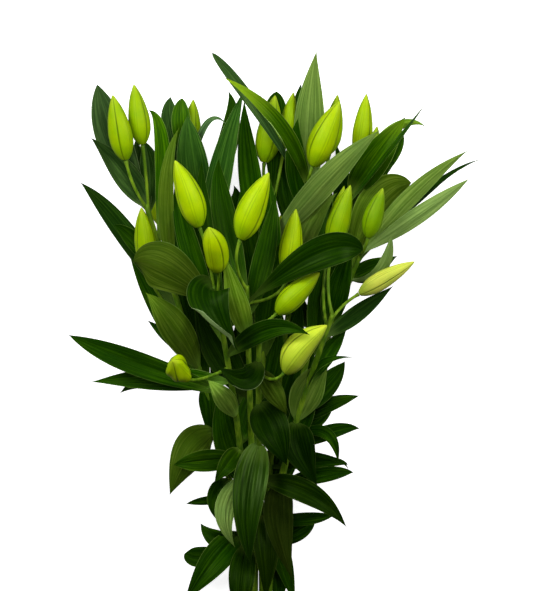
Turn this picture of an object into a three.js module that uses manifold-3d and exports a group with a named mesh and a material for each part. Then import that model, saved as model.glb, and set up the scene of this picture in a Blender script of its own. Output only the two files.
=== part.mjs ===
// A bunch of ten cut lily stems in closed bud, lying on its side, in millimetres with +Z up.
// The cut ends are at the low end of Y and the buds at the high end. Each leafy stem is one body
// with its leaves and bud stalks, each bud is a body of its own, and a rubber band holds the stems.
import * as THREE from 'three';
import Module from 'manifold-3d';

const wasm = await Module();
wasm.setup();
const { Manifold } = wasm;

// The bundle at the cut end: two stems in the middle and eight round them.
const STEM_RADIUS = 4.5;
const HEAD_RADIUS = 3.4;
const STEM_GAP = 0.4;
const SLOT = STEM_RADIUS + STEM_GAP / 2;
const RING_RADIUS = 3 * SLOT;
const BAND_THICKNESS = 2;
const BAND_WIDTH = 9;
const BAND_SIDES = 16;
const BAND_INNER = (RING_RADIUS + STEM_RADIUS + 0.3) / Math.cos(Math.PI / BAND_SIDES);
const BAND_OUTER = BAND_INNER + BAND_THICKNESS;
const BAND_Y = 90;
const BUNDLE_X = -5;
const BUNDLE_Z = BAND_OUTER * Math.cos(Math.PI / BAND_SIDES);
const STRAIGHT_END = 150;
const SPREAD_Y = 330;
const STEM_SIDES = 6;
const STEM_STEPS = 8;

// Leaves and buds.
const LEAF_THICKNESS = 0.9;
const LEAF_FOLD = 14;
const LEAF_ROOT = 5;
const WIDEST = 0.4;
const BROAD_LEAF = 37;
const BROAD_STATIONS = [0, 0.1, 0.27, 0.5, 0.77];
const SLIM_STATIONS = [0, 0.12, 0.36, 0.68];
const NARROW_LEAF = 24;
const NARROW_STATIONS = [0, 0.28, 0.68];
const CLEARANCE = 0.4;
const ROOT_SHARE = 0.2;
const STALK_RADIUS = 2.4;
const STALK_SIDES = 5;
const STALK_STEPS = 4;
const STALK_BEND = 0.5;
const SEAT_GAP = 0.3;
const BUD_LOBE = 0.05;
const BUD_SIDES = 9;
const BUD_OUTLINE = [
  [0, 0.26], [0.08, 0.6], [0.2, 0.89], [0.36, 1], [0.6, 0.86], [0.83, 0.5], [1, 0.06],
];

// Each stem: its slot in the bundle, the shoulder that it bends towards and its head.
const STEMS = {
  a: { slot: 'ring4', shoulder: [-95, 520, 80], head: [-151, 703, 120] },
  b: { slot: 'ring3', shoulder: [-30, 440, 140], head: [-64, 597, 190] },
  c: { slot: 'ring2', shoulder: [-16, 440, 130], head: [-20, 597, 180] },
  d: { slot: 'ring1', shoulder: [-8, 440, 165], head: [-3, 549, 205] },
  g: { slot: 'left', shoulder: [0, 520, 62], head: [14, 708, 70] },
  h: { slot: 'ring6', shoulder: [25, 540, 40], head: [65, 728, 60] },
  i: { slot: 'right', shoulder: [70, 500, 85], head: [130, 642, 115] },
  j: { slot: 'ring0', shoulder: [45, 430, 120], head: [92, 560, 165] },
  k: { slot: 'ring5', shoulder: [-50, 560, 40], head: [-94, 750, 55] },
  l: { slot: 'ring7', shoulder: [70, 560, 45], head: [125, 754, 60] },
};

// Each bud: its stem, the height on it where the stalk leaves, the bud's base and tip, its width, and
// how far it bows sideways.
const BUDS = {
  a1: ['a', 697, [-177, 760, 140], [-194, 845, 150], 31],
  a2: ['a', 692, [-155.5, 780, 128], [-166.5, 859, 132], 28],
  a3: ['a', 560, [-148, 622, 118], [-157, 699, 132], 28],
  b1: ['b', 592, [-81, 673, 205], [-113, 760, 218], 35, 1.5],
  b2: ['b', 580, [-57, 615, 206], [-69, 673, 262], 31, 2.5],
  b3: ['b', 490, [-103, 480, 202], [-116, 500, 254], 31],
  c1: ['c', 592, [-28, 657, 205], [9, 744, 215], 37, -2.5],
  c2: ['c', 575, [33, 611, 158], [44, 697, 165], 30],
  d1: ['d', 545, [19, 561, 196], [75, 614, 200], 31, -1.5],
  d2: ['d', 486, [29, 484, 208], [84.5, 546, 222], 38, -7],
  g1: ['g', 702, [3, 757, 80], [17, 845, 84], 33],
  g2: ['g', 698, [29, 778, 66], [41, 849, 70], 23],
  g4: ['g', 610, [20, 618, 15.1], [25, 690, 5.1], 26],
  h1: ['h', 724, [66, 752, 112], [101, 837, 125], 36, -1],
  h2: ['h', 718, [87.5, 769, 62], [98.5, 846, 62], 25],
  h3: ['h', 640, [74, 655, 15.1], [88, 728, 5.1], 26],
  i1: ['i', 638, [138, 659, 150], [157, 724, 158], 26, -1],
  i2: ['i', 585, [128, 668, 15.1], [150, 736, 5.1], 26],
  j1: ['j', 558, [92, 645, 152], [115, 728, 162], 28, -1],
  j2: ['j', 552, [126, 586.5, 150], [198.5, 628.5, 150], 24, -1],
  j3: ['j', 540, [88, 650, 108], [107, 727, 114], 22],
  k1: ['k', 746, [-93.5, 770, 60], [-89.5, 840, 60], 24],
  k2: ['k', 670, [-64, 672, 15.1], [-72, 745, 5.1], 26],
  k3: ['k', 644, [-124, 672, 15.1], [-150, 734, 5.1], 26],
  l1: ['l', 752, [127, 762, 66], [136, 847, 66], 26],
  l2: ['l', 742, [136, 735, 84], [150, 805, 84], 22],
};

// Each leaf: the height on its stem where it grows, its middle, its tip, its width across, and the
// turn of the blade about its own length, where 0 has the upper face up and 180 the underside.
const LEAVES = {
  a: [
    [692, [-189.5, 779, 100], [-214.5, 859, 92], 46, 0, 0.55],
    [698, [-181, 746, 112], [-223, 790, 118], 35, 0],
    [694, [-160, 742, 84], [-163, 792, 76], 30, 0],
    [690, [-145, 744, 88], [-154, 786, 80], 29, 0, 0.5],
    [650, [-130, 779, 128], [-148, 825, 120], 21, 0],
    [575, [-125, 712, 150], [-108, 802, 140], 21, 180, 0.45],
    [560, [-183, 672, 60], [-237, 732, 52], 30, 0],
    [600, [-164, 655, 96], [-193, 676, 92], 26, 20],
    [500, [-122, 530, 50], [-149, 552, 46], 17, 0],
    [470, [-125, 558, 70], [-174, 646, 66], 34, 0, 0.5],
    [488, [-116, 547, 150], [-151, 588, 158], 42, 180],
    [470, [-142, 475, 96], [-185, 457, 90], 22, 0],
    [470, [-66, 436, 60], [-68, 388, 54], 31, 0],
    [450, [-100, 566, 60], [-121, 690, 54], 44, 0, 0.45],
    [405, [-90, 386, 92], [-120, 325, 86], 51, 180, 0.46],
    [345, [-60, 321, 84], [-56, 289, 80], 26, 0],
    [320, [-75, 317, 60], [-99, 313, 56], 12, 0],
    [262, [-60, 268, 56], [-80, 288, 52], 26, 0],
    [275, [-63, 238, 70], [-102, 184, 60], 40, 0],
  ],
  b: [
    [596, [-66, 572, 230], [-31, 512, 222], 58, 0, 0.33],
    [572, [-126, 621, 205], [-167, 628, 176], 64, 180, 0.55],
    [455, [-165, 497, 150], [-251, 533, 140], 33, 0, 0.48],
    [472, [-137, 476, 128], [-222, 472, 118], 32, 0],
    [425, [-50, 452, 158], [-71, 475, 156], 28, 180],
    [350, [-48.5, 304, 118], [-35, 257, 110], 28, 180],
    [385, [-44, 366, 130], [-62, 341, 126], 26, 0],
    [372, [-80, 369, 112], [-115, 364, 106], 30, 0],
    [262, [-27, 212, 84], [-28, 160, 70], 36, 0],
    [520, [-95, 650, 140], [-112, 735, 132], 30, 10],
    [540, [-75, 660, 120], [-78, 760, 112], 34, 0],
    [505, [10, 541, 222], [62, 533, 240], 28, 0],
  ],
  c: [
    [575, [70, 637, 222], [131, 643, 205], 45, 0, 0.6],
    [570, [-50, 690, 150], [-56, 762, 158], 34, 0],
    [530, [-35, 585, 212], [-50, 640, 222], 30, 180, 0.33],
    [555, [4, 640, 150], [18, 720, 140], 30, 0],
    [450, [-60, 520, 110], [-85, 580, 104], 44, 0],
  ],
  d: [
    [500, [-22, 476, 214], [-57, 493, 208], 36, 0],
    [490, [16, 458, 196], [32, 430, 190], 28, 180],
    [345, [63, 326, 120], [110, 283, 110], 32, 0],
    [445, [14, 409, 196], [32, 364, 190], 50, 0],
    [300, [6, 256, 92], [4, 186, 84], 36, 0],
    [392, [-19, 310, 146], [-14, 232, 126], 46, 0, 0.3],
  ],
  g: [
    [650, [89, 740, 160], [153, 799, 150], 35, 180],
    [610, [-16, 742, 84], [-23, 839, 90], 32, 0],
    [700, [16, 788, 50], [19, 850, 46], 33, 0, 0.66],
    [560, [10, 660, 100], [8, 745, 96], 32, 0],
    [500, [15, 600, 60], [30, 660, 60], 40, 0],
    [540, [-16, 636, 50], [-28, 725, 44], 46, 0],
    [330, [-41, 399, 40], [-52, 466, 36], 50, 0],
    [440, [14, 502, 50], [22, 560, 44], 32, 0],
  ],
  h: [
    [715, [25, 804, 150], [-50, 868, 140], 21, 0, 0.46],
    [710, [1, 814, 112], [-65, 900, 108], 16, 0, 0.7],
    [722, [62, 815, 84], [71, 903, 90], 42, 180],
    [700, [48, 800, 44], [51, 861, 40], 26, 0],
    [610, [64, 676, 118], [98, 718, 126], 28, 180],
    [690, [44, 760, 70], [47, 815, 60], 30, 0],
    [560, [70, 660, 40], [90, 725, 36], 44, 0],
    [385, [86, 374, 70], [112, 358, 66], 6, 0],
    [360, [80, 368, 50], [112, 364, 46], 16, 0],
    [290, [62, 294, 60], [94, 299, 56], 18, 0],
    [325, [30, 386, 30], [38, 450, 28], 44, 0],
    [380, [42, 458, 24], [60, 534, 22], 50, 0, 0.5],
    [480, [40, 530, 36], [50, 580, 32], 30, 0],
    [655, [31, 722, 44], [28, 785, 40], 30, 0],
    [385, [69, 420, 44], [91, 443, 40], 21, 0],
  ],
  i: [
    [605, [147, 699, 88], [194, 731, 92], 54, 180, 0.55],
    [640, [200, 719.5, 118], [268, 773, 125], 24, 180],
    [625, [218, 719, 98], [283, 761, 100], 26, 70],
    [640, [200, 686.5, 128], [269, 736, 134], 23, 180, 0.5],
    [605, [153, 616, 140], [168, 661, 146], 17, 160, 0.6],
    [606, [143, 619, 110], [176, 636, 104], 29, 0],
    [540, [101, 600, 168], [117, 648, 160], 32, 0],
    [500, [84, 595, 70], [104, 658, 66], 44, 0],
    [385, [92, 408, 90], [127, 411, 84], 21, 0],
    [400, [82, 406, 110], [99, 368, 104], 16, 0, 0.5],
  ],
  j: [
    [530, [128, 564, 120], [171, 597, 112], 23, 0],
    [470, [88, 513, 110], [110, 540, 104], 24, 0],
    [460, [78, 494, 140], [117, 504, 138], 20, 60],
    [430, [86, 470, 100], [108, 499, 96], 31, 0],
    [420, [62, 465, 130], [88, 500, 128], 44, 180],
    [345, [22, 290, 92], [40, 214, 84], 40, 180],
    [420, [49, 385, 124], [72, 337, 118], 45, 0],
  ],
  k: [
    [700, [-115, 792, 48], [-119, 843, 44], 29, 0, 0.5],
    [735, [-104, 795, 74], [-104, 841, 70], 26, 0, 0.62],
    [650, [-89, 745, 80], [-97, 818, 84], 43, 0, 0.5],
    [745, [-72, 807, 66], [-47, 808, 70], 10, 30],
    [640, [-52, 752, 100], [-23, 853, 104], 34, 10],
    [690, [-43, 790, 60], [-44, 851, 56], 28, 0],
    [255, [-72, 244, 34], [-101, 248, 30], 28, 0, 0.6],
    [370, [-50, 430, 44], [-62, 486, 38], 38, 0],
    [480, [-66, 560, 36], [-86, 645, 32], 46, 0],
    [570, [-52, 650, 34], [-58, 735, 28], 46, 0],
    [440, [-24, 512, 26], [-25, 584, 22], 40, 0],
    [650, [-38, 695, 36], [-37, 728, 30], 24, 0],
  ],
  l: [
    [715, [151, 768, 96], [187, 817, 104], 42, 0],
    [740, [172, 801, 90], [213, 804, 84], 16, 162],
    [700, [168, 773, 126], [212, 833, 140], 15, 62],
    [700, [160.5, 760, 70], [179, 802, 66], 26, 0, 0.6],
    [690, [150, 742, 66], [173, 757, 60], 22, 0],
    [640, [106, 706, 90], [95, 786, 80], 33, 0],
    [420, [88, 442, 80], [127, 454, 76], 22, 0],
    [340, [85, 352, 60], [119, 354, 54], 22, 0],
    [262, [50, 279, 44], [69, 291, 40], 26, 0],
    [275, [28, 236, 40], [44, 180, 36], 26, 0],
    [250, [22, 215, 24], [18, 172, 20], 24, 0],
    [350, [33, 312, 30], [36, 270, 26], 16, 0],
  ],
};

// More leaves grow round the lower side of each stem, where the ones above hide them. They stay
// inside the bunch's outline, given as heights with the least and the greatest X there.
const HIDDEN = {
  first: 240, step: 150, below: 60, golden: 137.5, spread: 34,
  length: 118, width: 30, vary: 0.15, seed: 31,
};
const OUTLINE = [
  [180, -55, 36], [300, -58, 38], [335, -58, 42], [350, -60, 68], [420, -76, 76],
  [500, -105, 85], [570, -125, 92], [640, -150, 112], [700, -165, 175], [770, -185, 170],
];

// A crowded leaf is bent clear: its middle is raised or lowered, its tip follows by a share of
// that, and its blade turns. The first pose that crosses nothing is taken.
const LIFTS = [0, 5, -5, 10, -10, 16, -16, 24, -24, 34, -34, 46, -46];
const TIP_SHARES = [1, 0, 2];
const TURNS = [0, 14, -14, 28, -28];
const TURN_COST = 1.2;

const COLOURS = { leaf: '#2f4f16', bud: '#a9cc1c', band: '#8a6a3c' };

const vec = (values) => new THREE.Vector3(...values);

// A slot's centre in the bundle's cross-section.
function slotCentre(slot) {
  if (slot === 'left') return [BUNDLE_X - SLOT, BUNDLE_Z];
  if (slot === 'right') return [BUNDLE_X + SLOT, BUNDLE_Z];
  const angle = THREE.MathUtils.degToRad(22.5 + 45 * Number(slot.slice(4)));
  return [BUNDLE_X + RING_RADIUS * Math.cos(angle), BUNDLE_Z + RING_RADIUS * Math.sin(angle)];
}

// A stem's line: straight through the bundle, then one cubic curve out to its head.
function stemLine({ slot, shoulder, head }) {
  const [x, z] = slotCentre(slot);
  const start = new THREE.Vector3(x, STRAIGHT_END, z);
  const spread = new THREE.Vector3(x, SPREAD_Y, z);
  return new THREE.CubicBezierCurve3(start, spread, vec(shoulder), vec(head));
}

// The point of a stem's line at a given height, found by halving.
function pointAtHeight(line, y) {
  let low = 0;
  let high = 1;
  for (let i = 0; i < 30; i += 1) {
    const middle = (low + high) / 2;
    if (line.getPoint(middle).y < y) low = middle;
    else high = middle;
  }
  return line.getPoint((low + high) / 2);
}

// A closed solid from corners and triangles, turned outside out if it came inside out.
function solidFrom(corners, triangles) {
  const vertProperties = new Float32Array(corners.flatMap((p) => [p.x, p.y, p.z]));
  const build = (list) => new Manifold(new wasm.Mesh({ numProp: 3, vertProperties, triVerts: list }));
  const solid = build(new Uint32Array(triangles.flat()));
  if (solid.volume() > 0) return solid;
  solid.delete();
  return build(new Uint32Array(triangles.flatMap(([a, b, c]) => [a, c, b])));
}

// A closed skin over rings that all have the same number of corners.
function skin(rings) {
  const sides = rings[0].length;
  const triangles = [];
  for (let i = 0; i + 1 < rings.length; i += 1) {
    for (let k = 0; k < sides; k += 1) {
      const a = i * sides + k;
      const b = i * sides + ((k + 1) % sides);
      triangles.push([a, b, b + sides], [a, b + sides, a + sides]);
    }
  }
  const last = (rings.length - 1) * sides;
  for (let k = 1; k + 1 < sides; k += 1) {
    triangles.push([0, k + 1, k], [last, last + k, last + k + 1]);
  }
  return solidFrom(rings.flat(), triangles);
}

// Rings of a given radius across a line, with three broad lobes if lobe isn't 0.
function ringsAlong(points, directions, radii, sides, lobe = 0) {
  return points.map((point, i) => {
    const along = directions[i];
    const reference = new THREE.Vector3(1, 0, 0);
    const first = reference.addScaledVector(along, -reference.dot(along)).normalize();
    const second = new THREE.Vector3().crossVectors(along, first);
    return Array.from({ length: sides }, (_, k) => {
      const angle = (2 * Math.PI * k) / sides;
      const radius = radii[i] * (1 + lobe * Math.cos(3 * angle));
      return point.clone()
        .addScaledVector(first, radius * Math.cos(angle))
        .addScaledVector(second, radius * Math.sin(angle));
    });
  });
}

const evenShares = (steps) => Array.from({ length: steps + 1 }, (_, i) => i / steps);

// A stem: one ring at the cut end, then rings along its curve, which gets thinner to the head.
function stemSolid(line) {
  const start = line.getPoint(0);
  const cutEnd = new THREE.Vector3(start.x, 0, start.z);
  const shares = evenShares(STEM_STEPS);
  const points = [cutEnd, ...shares.map((t) => line.getPoint(t))];
  const directions = [new THREE.Vector3(0, 1, 0), ...shares.map((t) => line.getTangent(t))];
  const radii = [STEM_RADIUS, ...shares.map((t) => STEM_RADIUS + (HEAD_RADIUS - STEM_RADIUS) * t)];
  return skin(ringsAlong(points, directions, radii, STEM_SIDES));
}

// A bud's stalk leaves the stem and comes up to the bud's base along the bud's own axis.
function stalkSolid(line, rootY, base, tip) {
  const axis = tip.clone().sub(base).normalize();
  const root = pointAtHeight(line, rootY);
  const end = base.clone().addScaledVector(axis, -SEAT_GAP);
  const reach = root.distanceTo(end);
  const bend = end.clone().addScaledVector(axis, -STALK_BEND * reach);
  const curve = new THREE.QuadraticBezierCurve3(root, bend, end);
  const shares = evenShares(STALK_STEPS);
  const points = shares.map((t) => curve.getPoint(t));
  const directions = shares.map((t) => curve.getTangent(t));
  return skin(ringsAlong(points, directions, shares.map(() => STALK_RADIUS), STALK_SIDES));
}

// A bud: rings of its outline along its axis, which may bow level and sideways, cut flat where it
// lies on the ground.
function budSolid(base, tip, width, bow) {
  const axis = tip.clone().sub(base);
  const direction = axis.clone().normalize();
  const sideways = new THREE.Vector3().crossVectors(direction, new THREE.Vector3(0, 0, 1)).normalize();
  const points = BUD_OUTLINE.map(([t]) => base.clone()
    .addScaledVector(axis, t)
    .addScaledVector(sideways, bow * Math.sin(Math.PI * t)));
  const radii = BUD_OUTLINE.map(([, share]) => (share * width) / 2);
  const solid = skin(ringsAlong(points, points.map(() => direction), radii, BUD_SIDES, BUD_LOBE));
  return solid.trimByPlane([0, 0, 1], 0);
}

// Half the width of a leaf at a share of its length: widest at a given share, with a point that is
// blunter the further out that lies.
function leafHalfWidth(t, width, widest) {
  const point = 1.2 - 2 * Math.max(0, widest - WIDEST);
  const shape = (t / widest) ** ((point * widest) / (1 - widest)) * ((1 - t) / (1 - widest)) ** point;
  return Math.max((width / 2) * shape, t < WIDEST ? LEAF_ROOT / 2 : 0);
}

// The shares of its length at which a leaf of a given width has its sections.
function stationsOf(width) {
  if (width < NARROW_LEAF) return NARROW_STATIONS;
  return width < BROAD_LEAF ? SLIM_STATIONS : BROAD_STATIONS;
}

// A leaf blade: a curve through root, middle and tip carries a shallow V-shaped section. It begins at
// a share of its length, and extra makes it thicker and wider on every side.
function bladeSolid(leaf, from, extra) {
  const { root, middle, tip, width, turn, widest, stations } = leaf;
  const bend = middle.clone().multiplyScalar(2).addScaledVector(root, -0.5).addScaledVector(tip, -0.5);
  const curve = new THREE.QuadraticBezierCurve3(root, bend, tip);
  const roll = THREE.MathUtils.degToRad(turn);
  const fold = THREE.MathUtils.degToRad(LEAF_FOLD);
  const half = LEAF_THICKNESS / 2 + extra;
  const shares = [...stations.filter((t) => t >= from), 1];
  const corners = [];
  for (const t of shares) {
    const point = curve.getPoint(t);
    const along = curve.getTangent(t);
    const flat = new THREE.Vector3().crossVectors(along, new THREE.Vector3(0, 0, 1)).normalize();
    const side = flat.clone().applyAxisAngle(along, -roll);
    const normal = new THREE.Vector3().crossVectors(side, along);
    const reach = t < 1 ? leafHalfWidth(t, width, widest) + extra : 0;
    const across = t < 1 ? [-1, 0, 1] : [0];
    const places = across.map((sign) => point.clone()
      .addScaledVector(side, sign * reach * Math.cos(fold))
      .addScaledVector(normal, Math.abs(sign) * reach * Math.sin(fold)));
    const upper = places.map((p) => p.clone().addScaledVector(normal, half));
    const lower = places.map((p) => p.clone().addScaledVector(normal, -half));
    for (let k = 0; k < across.length; k += 1) {
      const sunk = Math.max(0, -Math.min(upper[k].z, lower[k].z));
      upper[k].z += sunk;
      lower[k].z += sunk;
    }
    corners.push(...upper, ...lower.reverse());
  }
  return solidFrom(corners, bladeTriangles(shares.length - 1));
}

// Six corners a station, three on each face, and two at the tip. Both faces are split alike.
function bladeTriangles(stations) {
  const triangles = [[0, 5, 1], [1, 5, 4], [1, 4, 2], [2, 4, 3]];
  for (let i = 0; i + 1 < stations; i += 1) {
    const a = 6 * i;
    const b = a + 6;
    triangles.push([a, a + 1, b + 1], [a, b + 1, b], [a + 1, a + 2, b + 1], [a + 2, b + 2, b + 1]);
    triangles.push([a + 5, b + 4, a + 4], [a + 5, b + 5, b + 4]);
    triangles.push([a + 4, b + 4, a + 3], [a + 3, b + 4, b + 3]);
    triangles.push([a, b, b + 5], [a, b + 5, a + 5], [a + 2, a + 3, b + 3], [a + 2, b + 3, b + 2]);
  }
  const a = 6 * (stations - 1);
  const upper = 6 * stations;
  const lower = upper + 1;
  triangles.push([a, a + 1, upper], [a + 1, a + 2, upper], [a + 5, lower, a + 4], [a + 4, lower, a + 3]);
  triangles.push([a, upper, lower], [a, lower, a + 5], [a + 2, a + 3, lower], [a + 2, lower, upper]);
  return triangles;
}

// Every bend of a crowded leaf, the least first. A degree of turn counts as much as a rise of 1.2 mm.
const bends = LIFTS.flatMap((lift) => (
  TIP_SHARES.flatMap((share) => TURNS.map((turn) => ({ lift, share, turn })))
));
bends.sort((a, b) => Math.abs(a.lift) + TURN_COST * Math.abs(a.turn)
  - Math.abs(b.lift) - TURN_COST * Math.abs(b.turn));

function bent(leaf, { lift, share, turn }) {
  const middle = leaf.middle.clone().setZ(leaf.middle.z + lift);
  const tip = leaf.tip.clone().setZ(leaf.tip.z + lift * share);
  return { ...leaf, middle, tip, turn: leaf.turn + turn };
}

function boxOf(solid) {
  const { min, max } = solid.boundingBox();
  return new THREE.Box3(vec(min), vec(max));
}

const placed = [];

function place(owner, kind, solid) {
  placed.push({ owner, kind, solid, box: boxOf(solid) });
}

function meets(solid, box, others) {
  return others.some((other) => {
    if (!other.box.intersectsBox(box)) return false;
    const shared = solid.intersect(other.solid);
    const empty = shared.isEmpty();
    shared.delete();
    return !empty;
  });
}

// A leaf stays clear of all that isn't its own stem, and past its root of its own stem's leaves.
// One that has no clear pose is left out.
function placeLeaf(stem, leaf) {
  for (const bend of bends) {
    const pose = bent(leaf, bend);
    const whole = bladeSolid(pose, 0, CLEARANCE);
    const outer = bladeSolid(pose, ROOT_SHARE, CLEARANCE);
    const foreign = placed.filter((other) => other.owner !== stem);
    const own = placed.filter((other) => other.owner === stem && other.kind !== 'stem');
    const blocked = meets(whole, boxOf(whole), foreign) || meets(outer, boxOf(outer), own);
    whole.delete();
    outer.delete();
    if (!blocked) {
      place(stem, 'leaf', bladeSolid(pose, 0, 0));
      return;
    }
  }
}

// One outer skin: loose scraps are dropped and sealed hollows filled.
function joined(solids) {
  const shells = Manifold.union(solids).decompose();
  return shells.reduce((best, shell) => (shell.volume() > best.volume() ? shell : best));
}

function meshFrom(solid, name, material) {
  const { numProp, vertProperties, triVerts } = solid.getMesh();
  const positions = new Float32Array((vertProperties.length / numProp) * 3);
  for (let i = 0; i < positions.length / 3; i += 1) {
    positions.set(vertProperties.subarray(i * numProp, i * numProp + 3), i * 3);
  }
  const geometry = new THREE.BufferGeometry();
  geometry.setAttribute('position', new THREE.BufferAttribute(positions, 3));
  geometry.setIndex(new THREE.BufferAttribute(new Uint32Array(triVerts), 1));
  const mesh = new THREE.Mesh(geometry, material);
  mesh.name = name;
  return mesh;
}

// The rubber band: a ring of flat sides round the bundle, one of them on the ground.
function bandGeometry() {
  const half = BAND_WIDTH / 2;
  const outline = [
    [BAND_INNER, -half], [BAND_OUTER, -half], [BAND_OUTER, half], [BAND_INNER, half], [BAND_INNER, -half],
  ];
  const turn = Math.PI / BAND_SIDES;
  return new THREE.LatheGeometry(outline.map(([r, y]) => new THREE.Vector2(r, y)), BAND_SIDES, turn);
}

// The least and the greatest X of the outline at a height, or null above and below it.
function outlineAt(y) {
  const i = OUTLINE.findIndex(([height]) => height > y);
  if (i < 1) return null;
  const [low, high] = [OUTLINE[i - 1], OUTLINE[i]];
  const share = (y - low[0]) / (high[0] - low[0]);
  return [low[1] + share * (high[1] - low[1]), low[2] + share * (high[2] - low[2])];
}

// Seeded draws between 0 and 1.
function seededDraws(seed) {
  let state = seed;
  return () => {
    state = (state * 16807) % 2147483647;
    return state / 2147483647;
  };
}

// Leaves round the lower side of a stem, turned by the golden angle from one to the next.
function hiddenLeaves(line, draw) {
  const leaves = [];
  const spread = THREE.MathUtils.degToRad(HIDDEN.spread);
  for (let y = HIDDEN.first, i = 0; y < line.v3.y - HIDDEN.below; y += HIDDEN.step, i += 1) {
    const round = THREE.MathUtils.degToRad(-170 + ((HIDDEN.golden * i + 160 * draw()) % 160));
    const length = HIDDEN.length * (1 + HIDDEN.vary * (2 * draw() - 1));
    const width = HIDDEN.width * (1 + HIDDEN.vary * (2 * draw() - 1));
    const root = pointAtHeight(line, y);
    const at = (share, bulge) => new THREE.Vector3(
      root.x + share * bulge * length * Math.sin(spread) * Math.cos(round),
      root.y + share * length * Math.cos(spread),
      Math.max(3, root.z + share * bulge * length * Math.sin(spread) * Math.sin(round)),
    );
    const leaf = {
      root, middle: at(0.5, 1.25), tip: at(1, 1), width, turn: 0, widest: WIDEST, stations: NARROW_STATIONS,
    };
    const inside = [leaf.middle, leaf.tip].every((p) => {
      const span = outlineAt(p.y);
      return span && p.x > span[0] && p.x < span[1];
    });
    if (inside) leaves.push(leaf);
  }
  return leaves;
}

const lines = Object.fromEntries(Object.entries(STEMS).map(([key, stem]) => [key, stemLine(stem)]));
for (const [key, line] of Object.entries(lines)) place(key, 'stem', stemSolid(line));
for (const [name, [stem, rootY, base, tip, width, bow = 0]] of Object.entries(BUDS)) {
  place(stem, 'stalk', stalkSolid(lines[stem], rootY, vec(base), vec(tip)));
  place(`bud_${name}`, 'bud', budSolid(vec(base), vec(tip), width, bow));
}
for (const [stem, leaves] of Object.entries(LEAVES)) {
  for (const [rootY, middle, tip, width, turn, widest = WIDEST] of leaves) {
    const root = pointAtHeight(lines[stem], rootY);
    const stations = stationsOf(width);
    placeLeaf(stem, { root, middle: vec(middle), tip: vec(tip), width, turn, widest, stations });
  }
}
const draw = seededDraws(HIDDEN.seed);
for (const [stem, line] of Object.entries(lines)) {
  hiddenLeaves(line, draw).forEach((leaf) => placeLeaf(stem, leaf));
}

const leafMaterial = new THREE.MeshStandardMaterial({ color: COLOURS.leaf, roughness: 0.45, metalness: 0 });
const budMaterial = new THREE.MeshStandardMaterial({ color: COLOURS.bud, roughness: 0.4, metalness: 0 });
const bandMaterial = new THREE.MeshStandardMaterial({ color: COLOURS.band, roughness: 0.6, metalness: 0 });

const bunch = new THREE.Group();
for (const owner of new Set(placed.map((piece) => piece.owner))) {
  const solid = joined(placed.filter((piece) => piece.owner === owner).map((piece) => piece.solid));
  const isBud = owner.startsWith('bud_');
  bunch.add(meshFrom(solid, isBud ? owner : `leafy_stem_${owner}`, isBud ? budMaterial : leafMaterial));
}
const band = new THREE.Mesh(bandGeometry(), bandMaterial);
band.name = 'rubber_band';
band.position.set(BUNDLE_X, BAND_Y, BUNDLE_Z);
bunch.add(band);

// The origin is under the middle of the bunch's box, on the surface that it lies on.
const box = new THREE.Box3().setFromObject(bunch);
const centre = box.getCenter(new THREE.Vector3());
bunch.position.set(-centre.x, -centre.y, -box.min.z);
bunch.updateMatrixWorld(true);

export default bunch;
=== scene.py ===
"""A bunch of cut lily stems in closed bud, lying on a pale floor and seen from straight above.

Shapes are worked out in millimetres in the bunch's own frame: the cut ends are at Y = 0, the stems run
along +Y and Z is up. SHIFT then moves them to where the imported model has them.
"""

import bpy
import numpy as np
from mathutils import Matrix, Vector


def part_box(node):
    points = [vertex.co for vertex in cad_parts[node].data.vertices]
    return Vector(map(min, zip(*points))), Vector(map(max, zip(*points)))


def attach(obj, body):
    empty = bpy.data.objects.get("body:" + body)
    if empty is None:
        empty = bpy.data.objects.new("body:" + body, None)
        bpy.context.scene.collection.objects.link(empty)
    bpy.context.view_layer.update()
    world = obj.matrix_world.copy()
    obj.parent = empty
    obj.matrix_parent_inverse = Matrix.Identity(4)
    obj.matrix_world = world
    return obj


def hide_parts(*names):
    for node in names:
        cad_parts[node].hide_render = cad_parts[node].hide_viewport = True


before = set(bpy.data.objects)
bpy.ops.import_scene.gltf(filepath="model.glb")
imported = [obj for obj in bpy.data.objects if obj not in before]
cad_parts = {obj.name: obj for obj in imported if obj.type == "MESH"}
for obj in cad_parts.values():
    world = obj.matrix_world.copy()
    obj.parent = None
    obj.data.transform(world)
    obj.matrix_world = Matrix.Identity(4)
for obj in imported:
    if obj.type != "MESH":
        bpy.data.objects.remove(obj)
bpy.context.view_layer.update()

# The bundle at the cut end.
STEM_RADIUS = 4.5
HEAD_RADIUS = 3.4
SLOT = 4.7
RING_RADIUS = 3 * SLOT
BAND_SIDES = 16
BAND_INNER = (RING_RADIUS + STEM_RADIUS + 0.3) / np.cos(np.pi / BAND_SIDES)
BAND_OUTER = BAND_INNER + 2
BAND_WIDTH = 9
BAND_Y = 90
BAND_HOOPS = 3
BUNDLE_X = -5
BUNDLE_Z = BAND_OUTER * np.cos(np.pi / BAND_SIDES)
STRAIGHT_END = 150
SPREAD_Y = 330

# Leaves and buds.
FOLD = np.radians(14)
LEAF_ROOT = 5
WIDEST = 0.4
BROAD_LEAF = 37
HALF_SOLID = 0.45
STALK_RADIUS = 2.4
STALK_BEND = 0.5
SEAT_GAP = 0.3
BUD_SHARE = [0, 0.08, 0.2, 0.36, 0.6, 0.83, 1]
BUD_FULLNESS = [0.26, 0.6, 0.89, 1, 0.86, 0.5, 0.06]

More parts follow.
